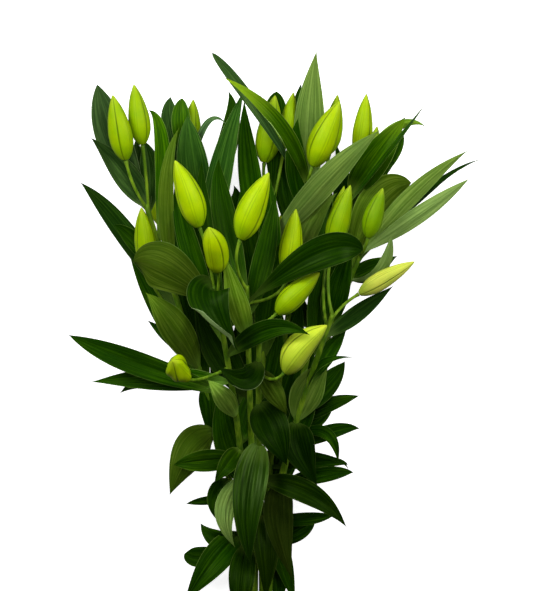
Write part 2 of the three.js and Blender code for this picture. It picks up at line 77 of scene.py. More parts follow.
# Each stem: its slot in the bundle, the shoulder that it bends towards and its head.
STEMS = {
    "a": ("ring4", (-95, 520, 80), (-151, 703, 120)),
    "b": ("ring3", (-30, 440, 140), (-64, 597, 190)),
    "c": ("ring2", (-16, 440, 130), (-20, 597, 180)),
    "d": ("ring1", (-8, 440, 165), (-3, 549, 205)),
    "g": ("left", (0, 520, 62), (14, 708, 70)),
    "h": ("ring6", (25, 540, 40), (65, 728, 60)),
    "i": ("right", (70, 500, 85), (130, 642, 115)),
    "j": ("ring0", (45, 430, 120), (92, 560, 165)),
    "k": ("ring5", (-50, 560, 40), (-94, 750, 55)),
    "l": ("ring7", (70, 560, 45), (125, 754, 60)),
}

# Each bud: its stem, the height on it where the stalk leaves, base, tip and width, then its looks:
# the turn of its seams in degrees, its colour from -1 pale yellow by 0 lime to 1 leafy green, where the
# greener, darker end is partly the bud's own colour and partly painted shade on buds that sit in shade,
# and how far it bows sideways in mm.
BUDS = {
    "a1": ("a", 697, (-177, 760, 140), (-194, 845, 150), 31, 20, 0.55, 0),
    "a2": ("a", 692, (-155.5, 780, 128), (-166.5, 859, 132), 28, 75, 0.6, 0),
    "a3": ("a", 560, (-148, 622, 118), (-157, 699, 132), 28, 100, 0.5, 0),
    "b1": ("b", 592, (-81, 673, 205), (-113, 760, 218), 35, 90, 0.12, 1.5),
    "b2": ("b", 580, (-57, 615, 206), (-69, 673, 262), 31, 70, 0.05, 2.5),
    "b3": ("b", 490, (-103, 480, 202), (-116, 500, 254), 31, 30, 0.2, 0),
    "c1": ("c", 592, (-28, 657, 205), (9, 744, 215), 37, 80, 0.1, -2.5),
    "c2": ("c", 575, (33, 611, 158), (44, 697, 165), 30, 90, 0.2, 0),
    "d1": ("d", 545, (19, 561, 196), (75, 614, 200), 31, 92, 0.5, -1.5),
    "d2": ("d", 486, (29, 484, 208), (84.5, 546, 222), 38, 96, -0.3, -7),
    "g1": ("g", 702, (3, 757, 80), (17, 845, 84), 33, 60, 0.75, 0),
    "g2": ("g", 698, (29, 778, 66), (41, 849, 70), 23, 80, 0.5, 0),
    "g4": ("g", 610, (20, 618, 15.1), (25, 690, 5.1), 26, 80, 0.5, 0),
    "h1": ("h", 724, (66, 752, 112), (101, 837, 125), 36, 105, 0.3, -1),
    "h2": ("h", 718, (87.5, 769, 62), (98.5, 846, 62), 25, 60, 0.6, 0),
    "h3": ("h", 640, (74, 655, 15.1), (88, 728, 5.1), 26, 60, 0.5, 0),
    "i1": ("i", 638, (138, 659, 150), (157, 724, 158), 26, 110, 1, -1),
    "i2": ("i", 585, (128, 668, 15.1), (150, 736, 5.1), 26, 60, 0.5, 0),
    "j1": ("j", 558, (92, 645, 152), (115, 728, 162), 28, 100, 0.75, -1),
    "j2": ("j", 552, (126, 586.5, 150), (198.5, 628.5, 150), 24, 60, -0.8, -1),
    "j3": ("j", 540, (88, 650, 108), (107, 727, 114), 22, 60, 0.5, 0),
    "k1": ("k", 746, (-93.5, 770, 60), (-89.5, 840, 60), 24, 60, 0.7, 0),
    "k2": ("k", 670, (-64, 672, 15.1), (-72, 745, 5.1), 26, 60, 0.5, 0),
    "k3": ("k", 644, (-124, 672, 15.1), (-150, 734, 5.1), 26, 60, 0.5, 0),
    "l1": ("l", 752, (127, 762, 66), (136, 847, 66), 26, 80, 0.35, 0),
    "l2": ("l", 742, (136, 735, 84), (150, 805, 84), 22, 60, 0.6, 0),
}

# The buds that aren't as round as the others: how far their three lobes stand out, how much fuller they
# are towards the tip, and how crumpled they are.
BUD_FORMS = {"b2": (0.06, 0.32, 0), "b3": (0.1, 0.1, 0.14), "c1": (0.05, 0, 0), "d2": (0.05, 0, 0)}

# The leaves with a margin folded back over the upper face: the side of it, how wide the strip is in mm,
# and where along the leaf it starts and ends.
FOLDS = {("b", 0): (1, 7, 0.42, 1.05), ("d", 0): (-1, 2.6, 0.05, 0.8), ("h", 0): (-1, 2.2, 0.3, 0.7)}

# The leaves whose veins stand out as ribs along the blade, and how high in mm.
RIBS = {("d", 5): 0.75, ("a", 18): 0.3, ("b", 8): 0.4, ("b", 7): 0.3, ("b", 5): 0.45, ("d", 1): 0.35}

# The leaves that aren't as light and as dull as most: each stem's rows by number, with how many times
# the lightness doubles, which is partly the leaf's own tone and partly painted shade on darkened leaves
# and painted light on lightened ones, how glossy they are, how far they lean from 1 yellowish to -1
# greyish, where the grey is partly wax bloom and partly painted sheen, and how pale they get towards
# the tip.
TONES_WITH_PAINTED_LIGHT = {
    "a": {0: (0.2, 0.3, -0.8, 0), 1: (-0.2, 0.3, -0.5, 0), 2: (0.2, 0.3, -0.5, 0), 3: (0, 0.2, -0.3, 0),
          4: (1.1, 0, 0.2, 0), 5: (0, 0.1, 0, 0), 6: (-0.3, 0, -0.2, 0), 10: (0.7, 0, 0, 0),
          14: (-0.3, 0, 0, 0)},
    "b": {0: (-0.8, 0.05, 0, 0), 1: (-0.7, 0, 0, 0), 3: (0.8, 0.1, 0, 0), 4: (1.5, 0, -0.2, 0),
          5: (1, 0.7, -0.5, 0), 6: (0.2, 0, 0.2, 0), 7: (0.2, 0, 0.2, 0), 8: (-1, 0, 0.2, 0)},
    "c": {0: (-0.7, 0.05, 0, 0), 1: (0, 0.1, 0, 0), 2: (0.9, 0, 0, 0), 4: (-1.6, 0, 0, 0)},
    "d": {0: (-1.5, 0, 0, 0), 1: (-1.2, 0, 0, 0), 2: (-0.8, 0, 0.2, 0), 3: (-1.6, 0, 0, 0),
          4: (-1.4, 0, 0.4, 0), 5: (-0.6, 0.35, 0.1, 0)},
    "g": {0: (0.6, 0, -0.4, 0), 1: (0.3, 0, 0, 0)},
    "h": {0: (1, 0.05, 0.4, 1), 1: (0.5, 0.4, -0.6, 0), 2: (0.8, 0, -0.4, 0), 4: (0.4, 0, -0.2, 0)},
    "i": {0: (0.1, 0, 0, 0), 1: (0.7, 0, -0.3, 0), 3: (1.1, 0, -0.6, 0), 4: (0.6, 0.8, -0.6, 0)},
    "j": {0: (-0.4, 0, -0.3, 0), 4: (0.4, 0, -0.2, 0), 5: (-2.1, 0, 0, 0), 6: (-1.4, 0, 0, 0)},
    "k": {0: (0.5, 0.1, -0.5, 0), 1: (1, 0.1, 0.2, 0), 2: (0.8, 0.1, -0.3, 0), 3: (1.8, 0.4, -1, 0),
          4: (0.9, 0, -0.3, 0)},
    "l": {0: (0.9, 0.05, 0.3, 0.3), 1: (1.3, 0.3, 0, 0), 2: (0.5, 0.3, 0, 0), 5: (0.2, 0, 0, 0)},
}

# Each leaf: the height on its stem where it grows, its middle, its tip, its width across, and the turn
# of the blade about its own length, where 0 has the upper face up and 180 the underside. The last value
# is the share of its length where it is widest, if that isn't WIDEST.
LEAVES = {
    "a": [
        (692, (-189.5, 779, 100), (-214.5, 859, 92), 46, 0, 0.55),
        (698, (-181, 746, 112), (-223, 790, 118), 35, 0),
        (694, (-160, 742, 84), (-163, 792, 76), 30, 0),
        (690, (-145, 744, 88), (-154, 786, 80), 29, 0, 0.5),
        (650, (-130, 779, 128), (-148, 825, 120), 21, 0),
        (575, (-125, 712, 150), (-108, 802, 140), 21, 180, 0.45),
        (560, (-183, 672, 60), (-237, 732, 52), 30, 0),
        (600, (-164, 655, 96), (-193, 676, 92), 26, 20),
        (500, (-122, 530, 50), (-149, 552, 46), 17, 0),
        (470, (-125, 558, 70), (-174, 646, 66), 34, 0, 0.5),
        (488, (-116, 547, 150), (-151, 588, 158), 42, 180),
        (470, (-142, 475, 96), (-185, 457, 90), 22, 0),
        (470, (-66, 436, 60), (-68, 388, 54), 31, 0),
        (450, (-100, 566, 60), (-121, 690, 54), 44, 0, 0.45),
        (405, (-90, 386, 92), (-120, 325, 86), 51, 180, 0.46),
        (345, (-60, 321, 84), (-56, 289, 80), 26, 0),
        (320, (-75, 317, 60), (-99, 313, 56), 12, 0),
        (262, (-60, 268, 56), (-80, 288, 52), 26, 0),
        (275, (-63, 238, 70), (-102, 184, 60), 40, 0),
    ],
    "b": [
        (596, (-66, 572, 230), (-31, 512, 222), 58, 0, 0.33),
        (572, (-126, 621, 205), (-167, 628, 176), 64, 180, 0.55),
        (455, (-165, 497, 150), (-251, 533, 140), 33, 0, 0.48),
        (472, (-137, 476, 128), (-222, 472, 118), 32, 0),
        (425, (-50, 452, 158), (-71, 475, 156), 28, 180),
        (350, (-48.5, 304, 118), (-35, 257, 110), 28, 180),
        (385, (-44, 366, 130), (-62, 341, 126), 26, 0),
        (372, (-80, 369, 112), (-115, 364, 106), 30, 0),
        (262, (-27, 212, 84), (-28, 160, 70), 36, 0),
        (520, (-95, 650, 140), (-112, 735, 132), 30, 10),
        (540, (-75, 660, 120), (-78, 760, 112), 34, 0),
        (505, (10, 541, 222), (62, 533, 240), 28, 0),
    ],
    "c": [
        (575, (70, 637, 222), (131, 643, 205), 45, 0, 0.6),
        (570, (-50, 690, 150), (-56, 762, 158), 34, 0),
        (530, (-35, 585, 212), (-50, 640, 222), 30, 180, 0.33),
        (555, (4, 640, 150), (18, 720, 140), 30, 0),
        (450, (-60, 520, 110), (-85, 580, 104), 44, 0),
    ],
    "d": [
        (500, (-22, 476, 214), (-57, 493, 208), 36, 0),
        (490, (16, 458, 196), (32, 430, 190), 28, 180),
        (345, (63, 326, 120), (110, 283, 110), 32, 0),
        (445, (14, 409, 196), (32, 364, 190), 50, 0),
        (300, (6, 256, 92), (4, 186, 84), 36, 0),
        (392, (-19, 310, 146), (-14, 232, 126), 46, 0, 0.3),
    ],
    "g": [
        (650, (89, 740, 160), (153, 799, 150), 35, 180),
        (610, (-16, 742, 84), (-23, 839, 90), 32, 0),
        (700, (16, 788, 50), (19, 850, 46), 33, 0, 0.66),
        (560, (10, 660, 100), (8, 745, 96), 32, 0),
        (500, (15, 600, 60), (30, 660, 60), 40, 0),
        (540, (-16, 636, 50), (-28, 725, 44), 46, 0),
        (330, (-41, 399, 40), (-52, 466, 36), 50, 0),
        (440, (14, 502, 50), (22, 560, 44), 32, 0),
    ],
    "h": [
        (715, (25, 804, 150), (-50, 868, 140), 21, 0, 0.46),
        (710, (1, 814, 112), (-65, 900, 108), 16, 0, 0.7),
        (722, (62, 815, 84), (71, 903, 90), 42, 180),
        (700, (48, 800, 44), (51, 861, 40), 26, 0),
        (610, (64, 676, 118), (98, 718, 126), 28, 180),
        (690, (44, 760, 70), (47, 815, 60), 30, 0),
        (560, (70, 660, 40), (90, 725, 36), 44, 0),
        (385, (86, 374, 70), (112, 358, 66), 6, 0),
        (360, (80, 368, 50), (112, 364, 46), 16, 0),
        (290, (62, 294, 60), (94, 299, 56), 18, 0),
        (325, (30, 386, 30), (38, 450, 28), 44, 0),
        (380, (42, 458, 24), (60, 534, 22), 50, 0, 0.5),
        (480, (40, 530, 36), (50, 580, 32), 30, 0),
        (655, (31, 722, 44), (28, 785, 40), 30, 0),
        (385, (69, 420, 44), (91, 443, 40), 21, 0),
    ],
    "i": [
        (605, (147, 699, 88), (194, 731, 92), 54, 180, 0.55),
        (640, (200, 719.5, 118), (268, 773, 125), 24, 180),
        (625, (218, 719, 98), (283, 761, 100), 26, 70),
        (640, (200, 686.5, 128), (269, 736, 134), 23, 180, 0.5),
        (605, (153, 616, 140), (168, 661, 146), 17, 160, 0.6),
        (606, (143, 619, 110), (176, 636, 104), 29, 0),
        (540, (101, 600, 168), (117, 648, 160), 32, 0),
        (500, (84, 595, 70), (104, 658, 66), 44, 0),
        (385, (92, 408, 90), (127, 411, 84), 21, 0),
        (400, (82, 406, 110), (99, 368, 104), 16, 0, 0.5),
    ],
    "j": [
        (530, (128, 564, 120), (171, 597, 112), 23, 0),
        (470, (88, 513, 110), (110, 540, 104), 24, 0),
        (460, (78, 494, 140), (117, 504, 138), 20, 60),
        (430, (86, 470, 100), (108, 499, 96), 31, 0),
        (420, (62, 465, 130), (88, 500, 128), 44, 180),
        (345, (22, 290, 92), (40, 214, 84), 40, 180),
        (420, (49, 385, 124), (72, 337, 118), 45, 0),
    ],
    "k": [
        (700, (-115, 792, 48), (-119, 843, 44), 29, 0, 0.5),
        (735, (-104, 795, 74), (-104, 841, 70), 26, 0, 0.62),
        (650, (-89, 745, 80), (-97, 818, 84), 43, 0, 0.5),
        (745, (-72, 807, 66), (-47, 808, 70), 10, 30),
        (640, (-52, 752, 100), (-23, 853, 104), 34, 10),
        (690, (-43, 790, 60), (-44, 851, 56), 28, 0),
        (255, (-72, 244, 34), (-101, 248, 30), 28, 0, 0.6),
        (370, (-50, 430, 44), (-62, 486, 38), 38, 0),
        (480, (-66, 560, 36), (-86, 645, 32), 46, 0),
        (570, (-52, 650, 34), (-58, 735, 28), 46, 0),
        (440, (-24, 512, 26), (-25, 584, 22), 40, 0),
        (650, (-38, 695, 36), (-37, 728, 30), 24, 0),
    ],
    "l": [
        (715, (151, 768, 96), (187, 817, 104), 42, 0),
        (740, (172, 801, 90), (213, 804, 84), 16, 162),
        (700, (168, 773, 126), (212, 833, 140), 15, 62),
        (700, (160.5, 760, 70), (179, 802, 66), 26, 0, 0.6),
        (690, (150, 742, 66), (173, 757, 60), 22, 0),
        (640, (106, 706, 90), (95, 786, 80), 33, 0),
        (420, (88, 442, 80), (127, 454, 76), 22, 0),
        (340, (85, 352, 60), (119, 354, 54), 22, 0),
        (262, (50, 279, 44), (69, 291, 40), 26, 0),
        (275, (28, 236, 40), (44, 180, 36), 26, 0),
        (250, (22, 215, 24), (18, 172, 20), 24, 0),
        (350, (33, 312, 30), (36, 270, 26), 16, 0),
    ],
}

# Leaves round the lower side of each stem, and the outline that they stay in: a height, and the least
# and the greatest X there.
HIDDEN_FIRST, HIDDEN_STEP, HIDDEN_BELOW = 240, 150, 60
HIDDEN_GOLDEN, HIDDEN_FROM, HIDDEN_ROUND = 137.5, -170, 160
HIDDEN_SPREAD, HIDDEN_BULGE, HIDDEN_LOWEST = np.radians(34), 1.25, 3
HIDDEN_LENGTH, HIDDEN_WIDTH, HIDDEN_VARY, HIDDEN_SEED = 118, 30, 0.15, 31
OUTLINE = np.array([
    (180, -55, 36), (300, -58, 38), (335, -58, 42), (350, -60, 68), (420, -76, 76), (500, -105, 85),
    (570, -125, 92), (640, -150, 112), (700, -165, 175), (770, -185, 170),
])

# How far a crowded leaf may be bent: the rise of its middle, its tip's share of it, its blade's turn.
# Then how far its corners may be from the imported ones, how near they are looked for, and how many of
# the eight are still there at least.
LIFTS = [0, 5, -5, 10, -10, 16, -16, 24, -24, 34, -34, 46, -46]
TIP_SHARES = [1, 0, 2]
TURNS = [0, 14, -14, 28, -28]
MATCH, NEARBY, CORNERS_LEFT = 0.05, 1.5, 5

# How finely the surfaces are divided, along them and round or across them.
BLADE_ROWS, FOLDED_ROWS = 42, 84
ACROSS = np.concatenate([[-1, -0.97], np.linspace(-0.9, 0.9, 13), [0.97, 1]])
ACROSS_FINE = np.concatenate([[-1, -0.98], np.linspace(-0.95, 0.95, 49), [0.98, 1]])
STRAIGHT_ROWS, STEM_ROWS, STEM_COLUMNS = 15, 84, 20
STALK_ROWS, STALK_COLUMNS = 26, 14
BUD_ROWS, BUD_COLUMNS = 56, 72
BAND_STEPS, BAND_CORNERS = 96, 16

# The draws of how a leaf's margins wave, as shares of its half width, and of how light leaves and stems
# are, in doublings each way.
LOOK_SEED, MARGIN_WAVE, PLAIN_TONE, STEM_TONE = 7, (0.03, 0.09), 0.25, 0.2

# A blade's half thickness at its midrib, the radius of a folded margin and the count of ribs. Then the
# materials of a leafy stem, and how many values each point carries for its material.
HALF_BLADE, FOLD_RADIUS, RIB_WAVES = 0.3, 0.9, 2.5
LEAF, STEM = 0, 1
MARKS = 8

# The picture's middle, the bunch's mid height, the picture's rows and how many mm each one shows.
VIEW_X, VIEW_Y, VIEW_Z = 16.9, 584.4, 130
PICTURE_ROWS, ROW_SHOWS = 591, 1.3
CAMERA_HEIGHT, SENSOR_HEIGHT = 40000, 24

UP = np.array([0.0, 0.0, 1.0])
MM = 0.001

band_low, band_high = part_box("rubber_band")
SHIFT = np.array((band_low + band_high) / 2) / MM - np.array([BUNDLE_X, BAND_Y, BUNDLE_Z])


def unit(vectors):
    """Each vector divided by its own length."""
    return vectors / np.linalg.norm(vectors, axis=-1, keepdims=True)


def smooth(low, high, value):
    """The smooth step: 0 below low, 1 above high, and 3s² - 2s³ between them."""
    s = np.clip((value - low) / (high - low), 0, 1)
    return s * s * (3 - 2 * s)


def curve(control, t):
    """Points and directions of the Bezier curve on three or four control points: the sum of each point
    times its binomial weight, and the difference of two points close together on it."""
    control = np.asarray(control, float)
    t = np.asarray(t, float)[:, None]

    def at(s):
        if len(control) == 3:
            return (1 - s) ** 2 * control[0] + 2 * s * (1 - s) * control[1] + s**2 * control[2]
        return ((1 - s) ** 3 * control[0] + 3 * s * (1 - s) ** 2 * control[1]
                + 3 * s**2 * (1 - s) * control[2] + s**3 * control[3])

    near = 0.0001
    return at(t), unit(at(np.minimum(t + near, 1)) - at(np.maximum(t - near, 0)))


def slot_centre(slot):
    """X and Z of a stem in the bundle: two in the middle, and eight on a ring, 45 degrees apart."""
    if slot in ("left", "right"):
        return BUNDLE_X + (SLOT if slot == "right" else -SLOT), BUNDLE_Z
    angle = np.radians(22.5 + 45 * int(slot[4:]))
    return BUNDLE_X + RING_RADIUS * np.cos(angle), BUNDLE_Z + RING_RADIUS * np.sin(angle)


def stem_control(name):
    """The four control points of a stem's curve above its straight part."""
    slot, shoulder, head = STEMS[name]
    x, z = slot_centre(slot)
    return np.array([(x, STRAIGHT_END, z), (x, SPREAD_Y, z), shoulder, head], float)


def point_at_height(control, y):
    """The curve's point at a height, found by 30 halvings of the range of t."""
    low, high = 0.0, 1.0
    for _ in range(30):
        middle = (low + high) / 2
        if curve(control, [middle])[0][0, 1] < y:
            low = middle
        else:
            high = middle
    return curve(control, [(low + high) / 2])[0][0]


def leaf_half_width(t, width, widest):
    """Half the width along a leaf: a power of t times a power of 1 - t, at its most where t is widest."""
    point = 1.2 - 2 * max(0, widest - WIDEST)
    grow = (point * widest) / (1 - widest)
    return (width / 2) * (t / widest) ** grow * ((1 - t) / (1 - widest)) ** point


def blade_frame(root, middle, tip, turn, t):
    """Points, directions, sides and normals along a leaf whose curve passes root, middle and tip. The
    side is level, then turned about the direction; the normal is the side crossed with the direction."""
    bend = 2 * middle - 0.5 * root - 0.5 * tip
    points, along = curve([root, bend, tip], t)
    level = unit(np.cross(along, UP))
    turned = np.radians(-turn)
    side = level * np.cos(turned) + np.cross(along, level) * np.sin(turned)
    return points, along, side, np.cross(side, along)


def solid_corners(leaf):
    """The outer corners of a leaf's plain solid: six at its last station and two at its tip."""
    root, middle, tip, width, turn, widest = leaf
    t = np.array([0.68 if width < BROAD_LEAF else 0.77, 1.0])
    points, _, side, normal = blade_frame(root, middle, tip, turn, t)
    reach = leaf_half_width(t[0], width, widest)
    sign = np.array([-1, 0, 1, 0])[:, None]
    rows = np.array([0, 0, 0, 1])
    places = (points[rows] + sign * reach * np.cos(FOLD) * side[rows]
              + abs(sign) * reach * np.sin(FOLD) * normal[rows])
    offset = HALF_SOLID * normal[rows]
    both = np.stack([places + offset, places - offset])
    both[..., 2] += np.maximum(0, -both[..., 2].min(axis=0))
    return both.reshape(-1, 3)


def pose_of(leaf, corners_there):
    """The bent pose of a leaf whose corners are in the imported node, or None if it has none. Its tip is
    there, and in all five of its eight corners: a side that runs into its own stem has lost some."""
    root, middle, tip, width, turn, widest = leaf
    best, best_miss = None, MATCH
    for lift in LIFTS:
        for share in TIP_SHARES:
            for extra in TURNS:
                pose = (root, middle + lift * UP, tip + lift * share * UP, width, turn + extra, widest)
                ends = solid_corners(pose)[[3, 7]]
                near = corners_there[np.abs(corners_there[:, :2] - ends[0, :2]).max(axis=1) < NEARBY]
                if len(near) == 0:
                    continue
                gaps = np.linalg.norm(ends[:, None] - near[None], axis=2).min(axis=1)
                if gaps.max() > best_miss:
                    continue
                corners = solid_corners(pose)
                gaps = np.linalg.norm(corners[:, None] - corners_there[None], axis=2).min(axis=1)
                miss = np.sort(gaps)[:CORNERS_LEFT].mean()
                if miss < best_miss:
                    best, best_miss = pose, miss
    return best


def hidden_leaves(name, draw):
    """Leaves round the lower side of a stem, turned by the golden angle from one to the next."""
    control = stem_control(name)
    leaves = []
    for i, y in enumerate(np.arange(HIDDEN_FIRST, control[3][1] - HIDDEN_BELOW, HIDDEN_STEP)):
        around = np.radians(HIDDEN_FROM + ((HIDDEN_GOLDEN * i + HIDDEN_ROUND * draw()) % HIDDEN_ROUND))
        length = HIDDEN_LENGTH * (1 + HIDDEN_VARY * (2 * draw() - 1))
        width = HIDDEN_WIDTH * (1 + HIDDEN_VARY * (2 * draw() - 1))
        root = point_at_height(control, y)
        outwards = length * np.sin(HIDDEN_SPREAD)
        ends = []
        for share, bulge in ((0.5, HIDDEN_BULGE), (1, 1)):
            end = root + share * np.array([
                bulge * outwards * np.cos(around), length * np.cos(HIDDEN_SPREAD),
                bulge * outwards * np.sin(around)])
            end[2] = max(HIDDEN_LOWEST, end[2])
            ends.append(end)
        inside = all(
            OUTLINE[0, 0] <= x[1] < OUTLINE[-1, 0]
            and np.interp(x[1], OUTLINE[:, 0], OUTLINE[:, 1]) < x[0]
            < np.interp(x[1], OUTLINE[:, 0], OUTLINE[:, 2]) for x in ends)
        if inside:
            leaves.append((root, ends[0], ends[1], width, 0, WIDEST))
    return leaves


def seeded_draws(state):
    """Draws between 0 and 1: each state is the last times 16807, modulo 2³¹ - 1."""
    def draw():
        nonlocal state
        state = (state * 16807) % 2147483647
        return state / 2147483647
    return draw


def blank_marks(grid):
    """A zero for each value that each point of a grid carries for its material."""
    return np.zeros(grid.shape[:2] + (MARKS,))


class Skin:
    """Surfaces gathered into one mesh, each with its material and each point's marks for it: the first
    three say where on the surface it is, and the others how it looks."""

    def __init__(self):
        self.points, self.quads, self.caps, self.marks, self.finish, self.cap_finish = [], [], [], [], [], []
        self.count = 0

    def add(self, grid, marks, finish, ends=(True, True), flip=False, hoop=False):
        """A grid of points, rows by columns, closed round its columns, with its ends capped if asked. A
        hoop's last row joins its first."""
        rows, columns = grid.shape[:2]
        row, column = np.meshgrid(np.arange(rows if hoop else rows - 1), np.arange(columns), indexing="ij")
        after = (column + 1) % columns
        beyond = (row + 1) % rows
        quads = np.stack([row * columns + column, row * columns + after,
                          beyond * columns + after, beyond * columns + column], axis=-1).reshape(-1, 4)
        first = np.arange(columns)[::-1]
        last = (rows - 1) * columns + np.arange(columns)
        if flip:
            quads, first, last = quads[:, ::-1], first[::-1], last[::-1]
        self.points.append(grid.reshape(-1, 3))
        self.marks.append(marks.reshape(-1, MARKS))
        self.quads.append(quads + self.count)
        self.finish.append(np.full(len(quads), finish))
        for wanted, cap in zip(ends, (first, last)):
            if wanted:
                self.caps.append((cap + self.count).tolist())
                self.cap_finish.append(finish)
        self.count += rows * columns

    def build(self, name, materials, nodes):
        """The finished piece, in metres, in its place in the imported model."""
        mesh = bpy.data.meshes.new(name)
        points = (np.concatenate(self.points) + SHIFT) * MM
        mesh.from_pydata(points, [], np.concatenate(self.quads).tolist() + self.caps)
        finish = np.concatenate(self.finish + [np.array(self.cap_finish, int)]).astype(np.int32)
        mesh.polygons.foreach_set("material_index", finish)
        mesh.polygons.foreach_set("use_smooth", np.ones(len(finish), bool))
        marks = np.concatenate(self.marks).astype(np.float32)
        marks = np.concatenate([marks, np.zeros((len(marks), 1), np.float32)], axis=1)
        for title, first in (("place", 0), ("look", 3), ("tint", 6)):
            values = mesh.attributes.new(title, "FLOAT_VECTOR", "POINT")
            values.data.foreach_set("vector", marks[:, first:first + 3].ravel())
        for material in materials:
            mesh.materials.append(material)
        mesh.update()
        piece = bpy.data.objects.new(name, mesh)
        bpy.context.scene.collection.objects.link(piece)
        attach(piece, "root")
        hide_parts(*nodes)
        return piece


def rings(points, along, radii, columns):
    """Rings across a line: the point plus its radius times the cosine and sine of the angle, along two
    directions square to the line. radii is one number for each ring, or one for each point of it."""
    reference = np.array([1.0, 0.0, 0.0])
    first = unit(reference - (along @ reference)[:, None] * along)
    second = np.cross(along, first)
    angle = 2 * np.pi * np.arange(columns) / columns
    radii = np.broadcast_to(np.asarray(radii).reshape(len(points), -1), (len(points), columns))
    return (points[:, None] + radii[..., None] * (np.cos(angle)[None, :, None] * first[:, None]
            + np.sin(angle)[None, :, None] * second[:, None])), angle


def add_blade(skin, leaf, draws, fold, ribs):
    """A leaf: its curve carries a section that is a V rounded at the midrib, with each half arched and
    its margins waved by a sine along the length. Ribs add a cosine of the distance across. A folded
    margin goes round a half circle past its crease and then back inwards. Each face lies half the
    thickness from that section, square to it."""
    root, middle, tip, width, turn, widest = leaf
    wave_left, wave_right, phase_left, phase_right, tone, gloss, yellow, pale_tip = draws
    across = ACROSS if fold is None and ribs == 0 else ACROSS_FINE
    u = np.linspace(0, 1, BLADE_ROWS if fold is None else FOLDED_ROWS)
    t = np.clip(u - 0.05 * np.sin(2 * np.pi * u), 0, 1)
    points, along, side, normal = blade_frame(root, middle, tip, turn, t)
    base = (LEAF_ROOT / 2) * (1 - smooth(0.15, 0.4, t))
    shape = leaf_half_width(np.clip(t, 0.0001, 0.9999), width, widest)
    half = (shape**4 + base**4 + 0.25**4) ** 0.25
    v = across[None, :]
    reach = half[:, None]
    row = t[:, None]
    fade = np.sin(np.pi * np.clip(row, 0, 1)) ** 0.6
    rise = reach * np.sin(FOLD) * (np.sqrt(v**2 + 0.02) - np.sqrt(0.02)) / (np.sqrt(1.02) - np.sqrt(0.02))
    rise = rise + reach * 0.05 * np.sin(np.pi * np.abs(v)) * fade
    left = wave_left * np.sin(2 * np.pi * (2.1 * row + phase_left))
    right = wave_right * np.sin(2 * np.pi * (1.8 * row + phase_right))
    rise = rise + reach * fade * np.abs(v) ** 3 * np.where(v < 0, left, right)
    rise = rise - ribs * fade * (1 - v**4) * np.cos(2 * np.pi * RIB_WAVES * v)
    thick = HALF_BLADE * (1 - 0.55 * v**4) + 0 * row
    out = v * reach * np.cos(FOLD)
    lean = np.zeros_like(out)
    if fold is not None:
        edge, strip, start, end = fold
        strip = strip * smooth(start, start + 0.15, row) * (1 - smooth(end - 0.15, end, row))
        strip = np.minimum(strip, reach)
        beyond = np.maximum(0, edge * out - (reach * np.cos(FOLD) - strip))
        lean = np.minimum(np.pi, beyond / FOLD_RADIUS)
        flat = np.maximum(0, beyond - np.pi * FOLD_RADIUS)
        out = edge * (edge * out - beyond + FOLD_RADIUS * np.sin(lean) - flat)
        rise = rise + FOLD_RADIUS * (1 - np.cos(lean)) + 0.12 * flat
        lean = -edge * lean
    centre = points[:, None] + side[:, None] * out[..., None] + normal[:, None] * rise[..., None]
    outwards = side[:, None] * np.sin(lean)[..., None] + normal[:, None] * np.cos(lean)[..., None]
    upper = centre + outwards * thick[..., None]
    lower = centre - outwards * thick[..., None]
    sunk = np.maximum(0, -np.minimum(upper[..., 2], lower[..., 2]))
    upper[..., 2] += sunk
    lower[..., 2] += sunk
    grid = np.concatenate([upper, lower[:, ::-1]], axis=1)
    columns = len(across)
    marks = blank_marks(grid)
    marks[..., 0] = np.concatenate([across, across[::-1]])
    marks[..., 1] = row
    marks[:, columns:, 2] = 1
    marks[..., 3:] = tone, width / 60, gloss, yellow, pale_tip
    if fold is not None:
        # The turned-over strip of a folded margin is made lighter by 1.6 doublings and greyer: painted
        # highlight on the curl, over the underside's own paler colour.
        folded = smooth(0.6, 2, np.abs(lean[:, ::-1]))
        marks[:, columns:, 3] += 1.6 * folded
        marks[:, columns:, 6] -= folded
    skin.add(grid, marks, LEAF)


def stem_ribs(angle):
    """A stem's radius round it as a share of its greatest: a cosine with five waves."""
    return (0.985 + 0.015 * np.cos(5 * angle))[None, :]


def add_stem(skin, name, leaf_heights, tone):
    """A stem: rings along its line, whose radius falls from the cut end to the head, with five faint
    ribs and a swelling, a bell curve of height, at each leaf's foot."""
    control = stem_control(name)
    below = np.linspace(0, STRAIGHT_END, STRAIGHT_ROWS, endpoint=False)
    points, along = curve(control, np.linspace(0, 1, STEM_ROWS))
    straight = np.tile(control[0], (len(below), 1))
    straight[:, 1] = below
    points = np.concatenate([straight, points])
    along = np.concatenate([np.tile([0.0, 1.0, 0.0], (len(below), 1)), along])
    t = np.concatenate([np.zeros(len(below)), np.linspace(0, 1, STEM_ROWS)])
    radius = STEM_RADIUS + (HEAD_RADIUS - STEM_RADIUS) * t
    heights = np.asarray(leaf_heights)[None, :]
    swelling = np.exp(-((points[:, 1:2] - heights) / 4.5) ** 2).sum(axis=1)
    radius = radius * (1 + 0.06 * np.minimum(swelling, 1))
    angle = 2 * np.pi * np.arange(STEM_COLUMNS) / STEM_COLUMNS
    radii = radius[:, None] * stem_ribs(angle)
    grid, _ = rings(points, along, radii, STEM_COLUMNS)
    marks = blank_marks(grid)
    marks[..., 0] = np.cos(angle)
    marks[..., 1] = np.minimum(swelling, 1)[:, None]
    marks[..., 2] = (points[:, 1] / 700)[:, None]
    marks[..., 3] = tone
    skin.add(grid, marks, STEM, ends=(False, True))
    add_cut_end(skin, control[0][0], control[0][2], tone)


